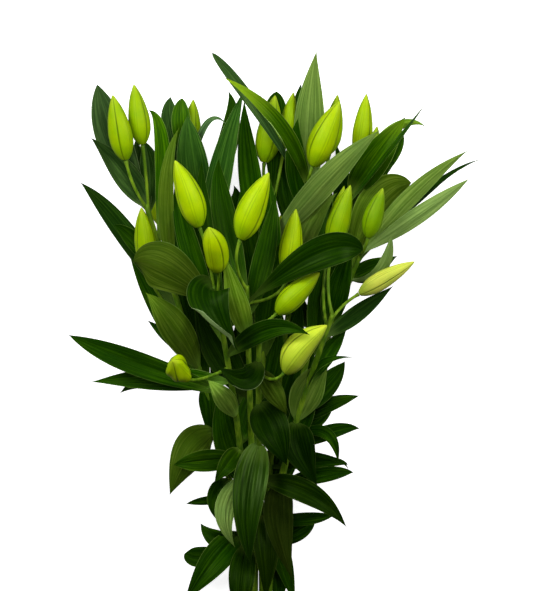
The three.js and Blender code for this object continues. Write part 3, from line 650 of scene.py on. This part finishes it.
def add_cut_end(skin, x, z, tone):
    """The cut face of a stem: rings from its rim to its middle, at Y = 0, slightly hollow."""
    shares = np.array([1.0, 0.93, 0.8, 0.55, 0.3, 0.04])
    hollow = np.array([0, 0.1, 0.25, 0.35, 0.4, 0.42])
    angle = 2 * np.pi * np.arange(STEM_COLUMNS) / STEM_COLUMNS
    radii = STEM_RADIUS * shares[:, None] * stem_ribs(angle)
    grid = np.stack([x + radii * np.cos(angle), np.broadcast_to(hollow[:, None], radii.shape),
                     z - radii * np.sin(angle)], axis=-1)
    marks = blank_marks(grid)
    marks[..., 2] = -0.5 - shares[:, None]
    marks[..., 3] = tone
    skin.add(grid, marks, STEM, ends=(False, True), flip=True)


def add_stalk(skin, control, root_y, base, tip, tone):
    """A bud's stalk: rings along a curve from the stem to just below the bud, wider at both ends."""
    axis = unit(tip - base)
    root = point_at_height(control, root_y)
    end = base - SEAT_GAP * 0.2 * axis
    reach = np.linalg.norm(root - end)
    t = np.linspace(0, 1, STALK_ROWS)
    points, along = curve([root, end - STALK_BEND * reach * axis, end], t)
    flare = 1 - smooth(0, 0.18, t)
    cup = smooth(0.86, 1, t)
    radius = STALK_RADIUS * (0.86 + 0.35 * flare + 0.32 * cup)
    grid, angle = rings(points, along, radius, STALK_COLUMNS)
    marks = blank_marks(grid)
    marks[..., 0] = np.cos(angle)
    marks[..., 1] = cup[:, None]
    marks[..., 2] = 1
    marks[..., 3] = tone
    skin.add(grid, marks, STEM)


def bud_fullness(t):
    """A bud's radius as a share of its greatest: a cubic through each given share, with the slope
    there of the line between its neighbours."""
    x = np.array(BUD_SHARE)
    y = np.array(BUD_FULLNESS)
    slope = np.gradient(y, x)
    k = np.clip(np.searchsorted(x, t, side="right") - 1, 0, len(x) - 2)
    step = x[k + 1] - x[k]
    s = (t - x[k]) / step
    return ((1 + 2 * s) * (1 - s) ** 2 * y[k] + s * (1 - s) ** 2 * step * slope[k]
            + s**2 * (3 - 2 * s) * y[k + 1] + s**2 * (s - 1) * step * slope[k + 1])


def build_bud(name, base, tip, width, roll, green, bow, material):
    """A bud: rings of its outline along its axis, with three broad lobes, a narrow groove and a small
    step where each outer petal laps the next, and a low double rib along the middle of each."""
    axis = tip - base
    direction = unit(axis)
    u = np.linspace(0, 1, BUD_ROWS)
    t = u - 0.045 * np.sin(2 * np.pi * u)
    round_tip = np.sqrt(np.clip(1 - (np.clip(t - 0.97, 0, 1) / 0.0301) ** 2, 0.0004, 1))
    round_base = np.sqrt(np.clip(1 - (np.clip(0.012 - t, 0, 1) / 0.0125) ** 2, 0.0004, 1))
    radius = bud_fullness(t) * width / 2 * round_tip * round_base
    sideways = unit(np.cross(direction, UP))
    points = base + axis * t[:, None] + sideways * (bow * np.sin(np.pi * t))[:, None]
    angle = 2 * np.pi * np.arange(BUD_COLUMNS) / BUD_COLUMNS
    swirl = np.radians(roll) + 0.18 * (t - 0.5)
    third = 2 * np.pi / 3
    local = (angle[None, :] - swirl[:, None]) % third
    from_seam = np.minimum(local, third - local) * np.sign(third / 2 - local)
    from_rib = local - third / 2
    open_part = (np.sin(np.pi * np.clip(t, 0, 1)) ** 0.5)[:, None]
    groove = np.exp(-(from_seam / 0.055) ** 2)
    lap = np.where(from_seam > 0, 1, 0) * np.exp(-np.abs(from_seam) / 0.22)
    rib = np.exp(-(from_rib / 0.16) ** 2) - 0.9 * np.exp(-(from_rib / 0.05) ** 2)
    lobe, full, crumple = BUD_FORMS.get(name, (0.035, 0, 0))
    lobes = lobe * np.cos(3 * (angle[None, :] - swirl[:, None]) - np.pi)
    section = 1 + lobes * open_part + open_part * (-0.045 * groove + 0.028 * lap + 0.014 * rib)
    section = section + full * (smooth(0.35, 0.85, t) * (1 - 0.5 * smooth(0.9, 1, t)))[:, None]
    creases = np.cos(2 * angle + 5 * t[:, None] + 0.6) + 0.5 * np.cos(5 * angle - 9 * t[:, None])
    section = section + crumple * open_part * creases
    grid, _ = rings(points, np.tile(direction, (BUD_ROWS, 1)), radius[:, None] * section, BUD_COLUMNS)
    grid[..., 2] = np.maximum(grid[..., 2], 0)
    marks = blank_marks(grid)
    marks[..., 0] = np.abs(from_seam)
    marks[..., 1] = t[:, None]
    marks[..., 2] = np.abs(from_rib)
    marks[..., 3] = green
    skin = Skin()
    skin.add(grid, marks, 0)
    return skin.build(f"closed_bud_{name}", [material], [f"bud_{name}"])


def build_band(material):
    """The rubber band: three hoops side by side round the bundle, each a rounded box carried on a circle
    of the angle."""
    strip = BAND_WIDTH / BAND_HOOPS
    angle = np.linspace(0, 2 * np.pi, BAND_STEPS, endpoint=False)
    corner = np.linspace(0, 2 * np.pi, BAND_CORNERS, endpoint=False)
    half_wide, half_thick = strip / 2 - 0.06, (BAND_OUTER - BAND_INNER) / 2 - 0.1
    wide = np.sign(np.cos(corner)) * np.abs(np.cos(corner)) ** 0.35 * half_wide
    thick = np.sign(np.sin(corner)) * np.abs(np.sin(corner)) ** 0.35 * half_thick
    skin = Skin()
    for hoop in range(BAND_HOOPS):
        middle = BAND_Y + (hoop - (BAND_HOOPS - 1) / 2) * strip
        radius = (BAND_INNER + BAND_OUTER) / 2 * np.cos(np.pi / BAND_SIDES) + 0.05 + thick[None, :]
        grid = np.stack([
            BUNDLE_X + radius * np.cos(angle)[:, None],
            np.broadcast_to(middle + wide, (BAND_STEPS, BAND_CORNERS)),
            BUNDLE_Z + radius * np.sin(angle)[:, None]], axis=-1)
        marks = blank_marks(grid)
        marks[..., 0] = wide
        skin.add(grid, marks, 0, ends=(False, False), hoop=True)
    skin.build("rubber_band_hoops", [material], ["rubber_band"])


class Nodes:
    """Makes and joins the shader nodes of one tree."""

    def __init__(self, tree):
        self.tree = tree
        tree.nodes.clear()

    def new(self, kind, inputs=(), **settings):
        node = self.tree.nodes.new(kind)
        for key, value in settings.items():
            setattr(node, key, value)
        for key, value in dict(inputs).items():
            self.give(node.inputs[key], value)
        return node

    def give(self, socket, value):
        if isinstance(value, bpy.types.NodeSocket):
            self.tree.links.new(value, socket)
        else:
            socket.default_value = value

    def maths(self, operation, *values):
        node = self.new("ShaderNodeMath", operation=operation)
        for socket, value in zip(node.inputs, values):
            self.give(socket, value)
        return node.outputs[0]

    def blend(self, factor, first, second):
        node = self.new("ShaderNodeMix", data_type="RGBA")
        for socket, value in zip((node.inputs[0], node.inputs[6], node.inputs[7]), (factor, first, second)):
            self.give(socket, value)
        return node.outputs[2]

    def times(self, first, second):
        return self.maths("MULTIPLY", first, second)

    def inverse(self, mask):
        return self.maths("SUBTRACT", 1.0, mask)

    def tint(self, mask, share, first, second):
        """The first colour with a share of the second where the mask is 1."""
        return self.blend(self.times(mask, share), first, second)

    def bump(self, shader, height, distance, strength):
        """Gives a shader the relief of a height."""
        relief = self.new("ShaderNodeBump", {"Height": height, "Distance": distance, "Strength": strength})
        self.give(shader.inputs["Normal"], relief.outputs[0])

    def step(self, low, high, value):
        node = self.new("ShaderNodeMapRange", interpolation_type="SMOOTHSTEP")
        for key, given in (("Value", value), ("From Min", low), ("From Max", high)):
            self.give(node.inputs[key], given)
        return node.outputs[0]

    def noise(self, scale, detail=3.0, vector=None, stretch=None):
        at = vector or self.new("ShaderNodeTexCoord").outputs["Object"]
        if stretch:
            at = self.new("ShaderNodeMapping", {"Vector": at, "Scale": stretch}).outputs[0]
        return self.new("ShaderNodeTexNoise", {"Vector": at, "Scale": scale, "Detail": detail}).outputs["Fac"]

    def values(self, title):
        split = self.new("ShaderNodeSeparateXYZ", {
            "Vector": self.new("ShaderNodeAttribute", attribute_name=title).outputs["Vector"]})
        return split.outputs[0], split.outputs[1], split.outputs[2]


def colour(red, green, blue):
    """A colour given in 0 to 255 as a screen shows it, as the linear values that a shader takes."""
    value = np.array([red, green, blue]) / 255
    linear = np.where(value <= 0.04045, value / 12.92, ((value + 0.055) / 1.055) ** 2.4)
    return (*linear.tolist(), 1.0)


def new_group(title, inputs, outputs):
    """A node group with its sockets, each a number or a colour, and what it is given and gives back."""
    group = bpy.data.node_groups.new(title, "ShaderNodeTree")
    for name, value in inputs.items():
        kind = "NodeSocketColor" if isinstance(value, tuple) else "NodeSocketFloat"
        socket = group.interface.new_socket(name, in_out="INPUT", socket_type=kind)
        socket.default_value = value
    for name, kind in outputs.items():
        group.interface.new_socket(name, in_out="OUTPUT", socket_type=f"NodeSocket{kind}")
    n = Nodes(group)
    return group, n, n.new("NodeGroupInput").outputs, n.new("NodeGroupOutput").inputs


def vein_group():
    """Parallel veins: a wave across the blade is near 0 at each vein. Puts out the main veins and the fine
    ones as masks, and their relief as a height, with a furrow at the midrib."""
    group, n, given, result = new_group(
        "parallel veins", {"Across": 0.0, "Main veins": 3.5, "Fine veins": 15.0},
        {"Main": "Float", "Fine": "Float", "Relief": "Float"})
    drift = n.maths("MULTIPLY_ADD", n.noise(14.0, 2.0), 0.08, -0.04)
    across = n.maths("ADD", given["Across"], drift)
    main = n.maths("PINGPONG", n.times(across, given["Main veins"]), 0.5)
    fine = n.maths("PINGPONG", n.times(across, given["Fine veins"]), 0.5)
    main_mask = n.inverse(n.step(0.02, 0.11, main))
    fine_mask = n.inverse(n.step(0.0, 0.32, fine))
    midrib = n.inverse(n.step(0.015, 0.07, n.maths("ABSOLUTE", given["Across"])))
    swell = n.times(n.step(0.0, 0.5, main), 0.8)
    relief = n.maths("SUBTRACT", swell, n.times(fine_mask, 0.12))
    relief = n.maths("SUBTRACT", relief, n.times(midrib, 0.7))
    for name, value in (("Main", main_mask), ("Fine", fine_mask), ("Relief", relief)):
        n.give(result[name], value)
    return group


def mottle_group():
    """Living colour: slow and fine noise make a colour lighter and darker. Tone doubles its value for
    each 1; on leaves it is partly painted shade and painted light. Yellow leans its hue to yellow, and
    below 0 it makes the colour greyer instead, which on leaves is partly painted sheen."""
    group, n, given, result = new_group(
        "living colour",
        {"Colour": (0.1, 0.3, 0.05, 1), "Tone": 0.0, "Yellow": 0.0, "Amount": 0.25, "Size": 40.0},
        {"Colour": "Color"})
    slow = n.noise(given["Size"], 2.0)
    quick = n.noise(n.times(given["Size"], 9.0), 4.0)
    drift = n.maths("ADD", n.times(n.maths("SUBTRACT", slow, 0.5), 1.6),
                    n.times(n.maths("SUBTRACT", quick, 0.5), 0.7))
    drift = n.times(drift, given["Amount"])
    value = n.times(n.maths("ADD", 1.0, drift), n.maths("POWER", 2.0, given["Tone"]))
    hue = n.maths("MULTIPLY_ADD", n.maths("SUBTRACT", slow, 0.5), -0.03, 0.5)
    hue = n.maths("SUBTRACT", hue, n.times(n.maths("MAXIMUM", given["Yellow"], 0.0), 0.045))
    pale = n.maths("MULTIPLY_ADD", n.maths("MINIMUM", given["Yellow"], 0.0), 0.3, 1.0)
    shifted = n.new("ShaderNodeHueSaturation", {
        "Hue": hue, "Saturation": pale, "Value": value, "Color": given["Colour"]})
    n.give(result["Colour"], shifted.outputs["Color"])
    return group


def new_material(name, shine):
    """A material with one Principled shader, whose fixed values are set on its own sockets."""
    material = bpy.data.materials.new(name)
    material.use_nodes = True
    n = Nodes(material.node_tree)
    shader = n.new("ShaderNodeBsdfPrincipled", shine)
    n.new("ShaderNodeOutputMaterial", {"Surface": shader.outputs[0]})
    return material, n, shader


def leaf_material(veins, mottle):
    """Leaf: a dark upper face and a dull, paler underside, streaked along the blade, with veins as lines
    and low relief, and a paler foot and margin. A point's marks are the place across and along, and 1 on
    the underside; then tone, partly painted shade and painted light, width and gloss; then yellow, whose
    grey end is partly painted sheen, and pale tip."""
    material, n, shader = new_material("lily leaf", {"Specular Tint": (0.5, 0.85, 0.2, 1)})
    across, along, under = n.values("place")
    tone, size, gloss = n.values("look")
    yellow, pale_tip, _ = n.values("tint")
    under = n.step(0.4, 0.6, under)
    vein = n.new("ShaderNodeGroup", {"Across": across}, node_tree=veins).outputs
    upper_dark, upper_light = colour(20, 54, 0), colour(50, 92, 2)
    under_dark, under_light = colour(64, 92, 10), colour(100, 126, 36)
    broad = n.times(vein["Main"], n.step(0.3, 0.8, size))
    lengthwise = n.new("ShaderNodeCombineXYZ", {
        0: n.times(across, n.times(size, 9.0)),
        1: n.times(along, 1.3), 2: n.times(tone, 30.0)}).outputs[0]
    streak = n.noise(1.6, vector=lengthwise)
    upper = n.tint(n.step(0.42, 0.72, streak), 0.75, upper_dark, upper_light)
    upper = n.tint(broad, 0.16, upper, upper_light)
    upper = n.tint(vein["Fine"], 0.2, upper, colour(10, 34, 0))
    below = n.tint(n.step(0.4, 0.7, streak), 0.7, under_dark, under_light)
    below = n.tint(broad, 0.6, below, colour(42, 66, 4))
    below = n.tint(vein["Fine"], 0.14, below, under_light)
    face = n.blend(under, upper, below)
    foot = n.inverse(n.step(0.02, 0.2, along))
    face = n.tint(foot, 0.5, face, colour(104, 140, 48))
    margin = n.step(0.955, 0.985, n.maths("ABSOLUTE", across))
    face = n.tint(margin, 0.5, face, colour(120, 150, 70))
    tip = n.times(n.step(0.55, 1.0, along), n.times(pale_tip, 0.7))
    face = n.blend(tip, face, colour(104, 140, 20))
    living = n.new("ShaderNodeGroup", {
        "Colour": face, "Tone": tone, "Yellow": yellow, "Amount": 0.3, "Size": 28.0}, node_tree=mottle)
    n.give(shader.inputs["Base Color"], living.outputs["Colour"])
    sheen = n.maths("MULTIPLY_ADD", n.noise(60.0), 0.16, 0.32)
    rough = n.maths("MULTIPLY_ADD", under, 0.2, sheen)
    n.give(shader.inputs["Roughness"], n.maths("MULTIPLY_ADD", gloss, -0.16, rough))
    n.give(shader.inputs["Specular IOR Level"], n.maths("MULTIPLY_ADD", gloss, 0.6, 0.05))
    grain = n.times(n.noise(900.0, 2.0), 0.1)
    n.bump(shader, n.maths("ADD", vein["Relief"], grain), 0.0006, 0.4)
    return material


def stem_material(mottle):
    """Stem and stalk: light green with fine lengthwise streaks, darker at leaf feet, pale pith."""
    material, n, shader = new_material("green stem", {
        "Specular IOR Level": 0.25, "Specular Tint": (0.7, 1, 0.35, 1)})
    _, joint, height = n.values("place")
    streak = n.noise(160.0, 3.0, stretch=(1, 0.06, 1))
    body = n.blend(n.step(0.35, 0.7, streak), colour(76, 112, 14), colour(122, 156, 34))
    body = n.tint(joint, 0.5, body, colour(58, 96, 26))
    cut = n.maths("LESS_THAN", height, -0.4)
    ring = n.step(-1.48, -1.2, height)
    pith = n.blend(ring, colour(96, 136, 60), colour(214, 220, 170))
    pores = n.maths("GREATER_THAN", n.noise(1400.0, 1.0), 0.62)
    pith = n.tint(pores, 0.4, pith, colour(150, 168, 96))
    body = n.blend(cut, body, pith)
    living = n.new("ShaderNodeGroup", {
        "Colour": body, "Tone": n.values("look")[0], "Amount": 0.2, "Size": 50.0}, node_tree=mottle)
    n.give(shader.inputs["Base Color"], living.outputs["Colour"])
    n.give(shader.inputs["Roughness"], n.maths("MULTIPLY_ADD", streak, 0.25, 0.32))
    n.bump(shader, streak, 0.0004, 0.5)
    return material


def bud_material(mottle):
    """Bud: lime, leafy green or pale yellow, with a green foot, a dark line in each seam, a pair along
    each rib, and a darker, greener rim where it turns away. The leafy green end is partly painted shade,
    the foot is partly painted shade at the base, and the rim is painted shade."""
    material, n, shader = new_material("lime bud", {
        "Specular IOR Level": 0.2, "Specular Tint": (0.85, 1, 0.35, 1),
        "Subsurface Weight": 0.12, "Subsurface Scale": 0.004,
        "Subsurface Radius": (0.6, 1.0, 0.2)})
    seam, along, rib = n.values("place")
    green, _, _ = n.values("look")
    lime, leafy = colour(180, 210, 0), colour(112, 152, 0)
    # Leafy green is partly the bud's own colour and partly painted shade on buds that sit in shade.
    body = n.blend(n.maths("MAXIMUM", green, 0.0), lime, leafy)
    body = n.blend(n.maths("MAXIMUM", n.times(green, -1.0), 0.0), body, colour(222, 226, 96))
    # The greener foot is partly the bud's own colour and partly painted shade at its base.
    foot = n.inverse(n.step(0.0, 0.34, along))
    body = n.tint(foot, 0.5, body, colour(112, 156, 8))
    head = n.step(0.8, 1.0, along)
    body = n.tint(head, 0.4, body, colour(196, 208, 60))
    lengthwise = n.new("ShaderNodeCombineXYZ", {0: n.times(seam, 14.0), 1: along}).outputs[0]
    streak = n.noise(3.0, 4.0, vector=lengthwise)
    body = n.tint(n.step(0.45, 0.7, streak), 0.4, body, colour(128, 168, 4))
    seam_line = n.inverse(n.step(0.02, 0.12, seam))
    pair = n.inverse(n.step(0.0, 0.06, n.maths("ABSOLUTE", n.maths("SUBTRACT", rib, 0.1))))
    # Painted shade: the rim that turns away from view is darkened to a deeper green.
    painted_rim_shade = n.new("ShaderNodeLayerWeight", {"Blend": 0.35}).outputs["Facing"]
    body = n.tint(n.step(0.35, 1.0, painted_rim_shade), 0.6, body, colour(96, 138, 0))
    body = n.tint(seam_line, 0.8, body, colour(66, 96, 0))
    body = n.tint(pair, 0.4, body, colour(98, 136, 0))
    living = n.new("ShaderNodeGroup", {"Colour": body, "Amount": 0.14, "Size": 60.0}, node_tree=mottle)
    n.give(shader.inputs["Base Color"], living.outputs["Colour"])
    n.give(shader.inputs["Roughness"], n.maths("MULTIPLY_ADD", streak, 0.18, 0.34))
    n.bump(shader, n.maths("SUBTRACT", n.times(streak, 0.5), seam_line), 0.0004, 0.5)
    return material


def band_material():
    """Rubber band: matt tan with fine lengthwise drawing lines and dusty patches."""
    material, n, shader = new_material("tan rubber", {"Specular IOR Level": 0.3})
    across, _, _ = n.values("place")
    lines = n.noise(9.0, 5.0, vector=n.new("ShaderNodeCombineXYZ", {0: across}).outputs[0])
    body = n.blend(n.step(0.35, 0.7, lines), colour(132, 98, 52), colour(160, 124, 74))
    dust = n.step(0.5, 0.8, n.noise(220.0))
    n.give(shader.inputs["Base Color"], n.tint(dust, 0.3, body, colour(186, 164, 128)))
    n.give(shader.inputs["Roughness"], n.maths("MULTIPLY_ADD", dust, 0.2, 0.55))
    n.bump(shader, lines, 0.0002, 0.5)
    return material


def packed_corners(node):
    """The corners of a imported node's faces, each once, in millimetres in the bunch's own frame."""
    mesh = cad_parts[node].data
    corners = np.zeros(len(mesh.vertices) * 3, np.float32)
    mesh.vertices.foreach_get("co", corners)
    return np.unique(np.round(corners.reshape(-1, 3) / MM - SHIFT, 4), axis=0)


def build_leafy_stem(name, hidden, foliage, chance):
    """A stem with its bud stalks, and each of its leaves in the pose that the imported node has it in."""
    node = f"leafy_stem_{name}"
    control = stem_control(name)
    there = packed_corners(node)
    rows = [(point_at_height(control, height), np.array(middle, float), np.array(tip, float),
             width, turn, *(widest or [WIDEST]))
            for height, middle, tip, width, turn, *widest in LEAVES[name]]
    skin = Skin()
    heights = []
    for number, row in enumerate(rows + hidden):
        wave = chance.uniform(*MARGIN_WAVE, 2)
        phase = chance.uniform(0, 1, 2)
        plain = (chance.uniform(-PLAIN_TONE, PLAIN_TONE), 0, 0, 0)
        # A listed leaf's tone is partly painted shade and painted light, and its grey lean partly painted
        # sheen; the other leaves get a plain random tone.
        look = TONES_WITH_PAINTED_LIGHT[name].get(number, plain)
        leaf = pose_of(row, there)
        if leaf is None:
            continue
        heights.append(leaf[0][1])
        fold, ribs = FOLDS.get((name, number)), RIBS.get((name, number), 0)
        add_blade(skin, leaf, (*wave, *phase, *look), fold, ribs)
    add_stem(skin, name, heights, chance.uniform(-STEM_TONE, STEM_TONE))
    for owner, root, base, tip, *_ in BUDS.values():
        if owner == name:
            tone = chance.uniform(-STEM_TONE, STEM_TONE)
            add_stalk(skin, control, root, np.array(base, float), np.array(tip, float), tone)
    skin.build(f"stem_with_leaves_{name}", foliage, [node])


def build_bunch():
    """Every leafy stem, every bud, and the rubber band."""
    veins, mottle = vein_group(), mottle_group()
    foliage = [leaf_material(veins, mottle), stem_material(mottle)]
    lime = bud_material(mottle)
    draw = seeded_draws(HIDDEN_SEED)
    hidden = {name: hidden_leaves(name, draw) for name in STEMS}
    chance = np.random.default_rng(LOOK_SEED)
    for name in STEMS:
        build_leafy_stem(name, hidden[name], foliage, chance)
    for name, (_, _, base, tip, width, roll, green, bow) in BUDS.items():
        build_bud(name, np.array(base, float), np.array(tip, float), width, roll, green, bow, lime)
    build_band(band_material())


def build_stage():
    """A plain pale floor under the bunch."""
    mesh = bpy.data.meshes.new("floor")
    reach, below = 6.0, 0.0003
    x, y = np.meshgrid([-reach, reach], [-reach, reach])
    corners = np.stack([x.ravel(), y.ravel(), np.full(4, -below)], axis=1)
    mesh.from_pydata(corners, [], [(0, 1, 3, 2)])
    floor = bpy.data.objects.new("floor", mesh)
    bpy.context.scene.collection.objects.link(floor)
    material, n, shader = new_material("pale floor", {"Roughness": 0.9, "Specular IOR Level": 0.0})
    seen = n.new("ShaderNodeLightPath").outputs["Is Camera Ray"]
    pale = n.blend(n.noise(3.0), (0.93, 0.93, 0.93, 1), (0.95, 0.95, 0.95, 1))
    n.give(shader.inputs["Base Color"], n.blend(seen, (0.2, 0.2, 0.2, 1), pale))
    shader.inputs["Emission Color"].default_value = (1, 1, 1, 1)
    n.give(shader.inputs["Emission Strength"], n.times(seen, 0.8))
    mesh.materials.append(material)


def add_light(name, place, target, size, power, tint):
    """A square soft box that faces a target."""
    data = bpy.data.lights.new(name, "AREA")
    data.shape = "SQUARE"
    data.size = size
    data.energy = power
    data.color = tint
    light = bpy.data.objects.new(name, data)
    light.location = place
    light.rotation_euler = (Vector(target) - Vector(place)).to_track_quat("-Z", "Y").to_euler()
    bpy.context.scene.collection.objects.link(light)


def build_lights():
    """Soft studio light: a large box on each side of the heads, an overhead one and a low even sky."""
    middle = (0, 0.16, 0.12)
    add_light("left box", (-1.05, 1.15, 1.25), middle, 0.9, 25, (1.0, 1.0, 1.0))
    add_light("right box", (1.2, 1.0, 1.2), middle, 0.9, 20, (1.0, 1.0, 1.0))
    add_light("overhead box", (0.0, 0.7, 3.0), middle, 1.2, 26, (1.0, 1.0, 1.0))
    world = bpy.data.worlds.new("studio")
    world.use_nodes = True
    n = Nodes(world.node_tree)
    sky = n.new("ShaderNodeBackground", {"Color": (1, 1, 1, 1), "Strength": 0.05})
    n.new("ShaderNodeOutputWorld", {"Surface": sky.outputs[0]})
    bpy.context.scene.world = world


def build_camera():
    """A long lens that looks straight down, framed so that 1.3 mm at the bunch's mid height is one of
    the picture's 550 by 591 steps."""
    data = bpy.data.cameras.new("camera")
    data.sensor_fit = "VERTICAL"
    data.sensor_height = SENSOR_HEIGHT
    data.lens = SENSOR_HEIGHT * (CAMERA_HEIGHT - VIEW_Z) / (PICTURE_ROWS * ROW_SHOWS)
    data.clip_start = 0.1
    data.clip_end = 100
    camera = bpy.data.objects.new("camera", data)
    camera.location = (np.array([VIEW_X, VIEW_Y, CAMERA_HEIGHT]) + SHIFT * [1, 1, 0]) * MM
    bpy.context.scene.collection.objects.link(camera)
    bpy.context.scene.camera = camera


bpy.context.scene.view_settings.view_transform = "Standard"
build_camera()
build_bunch()
build_stage()
build_lights()
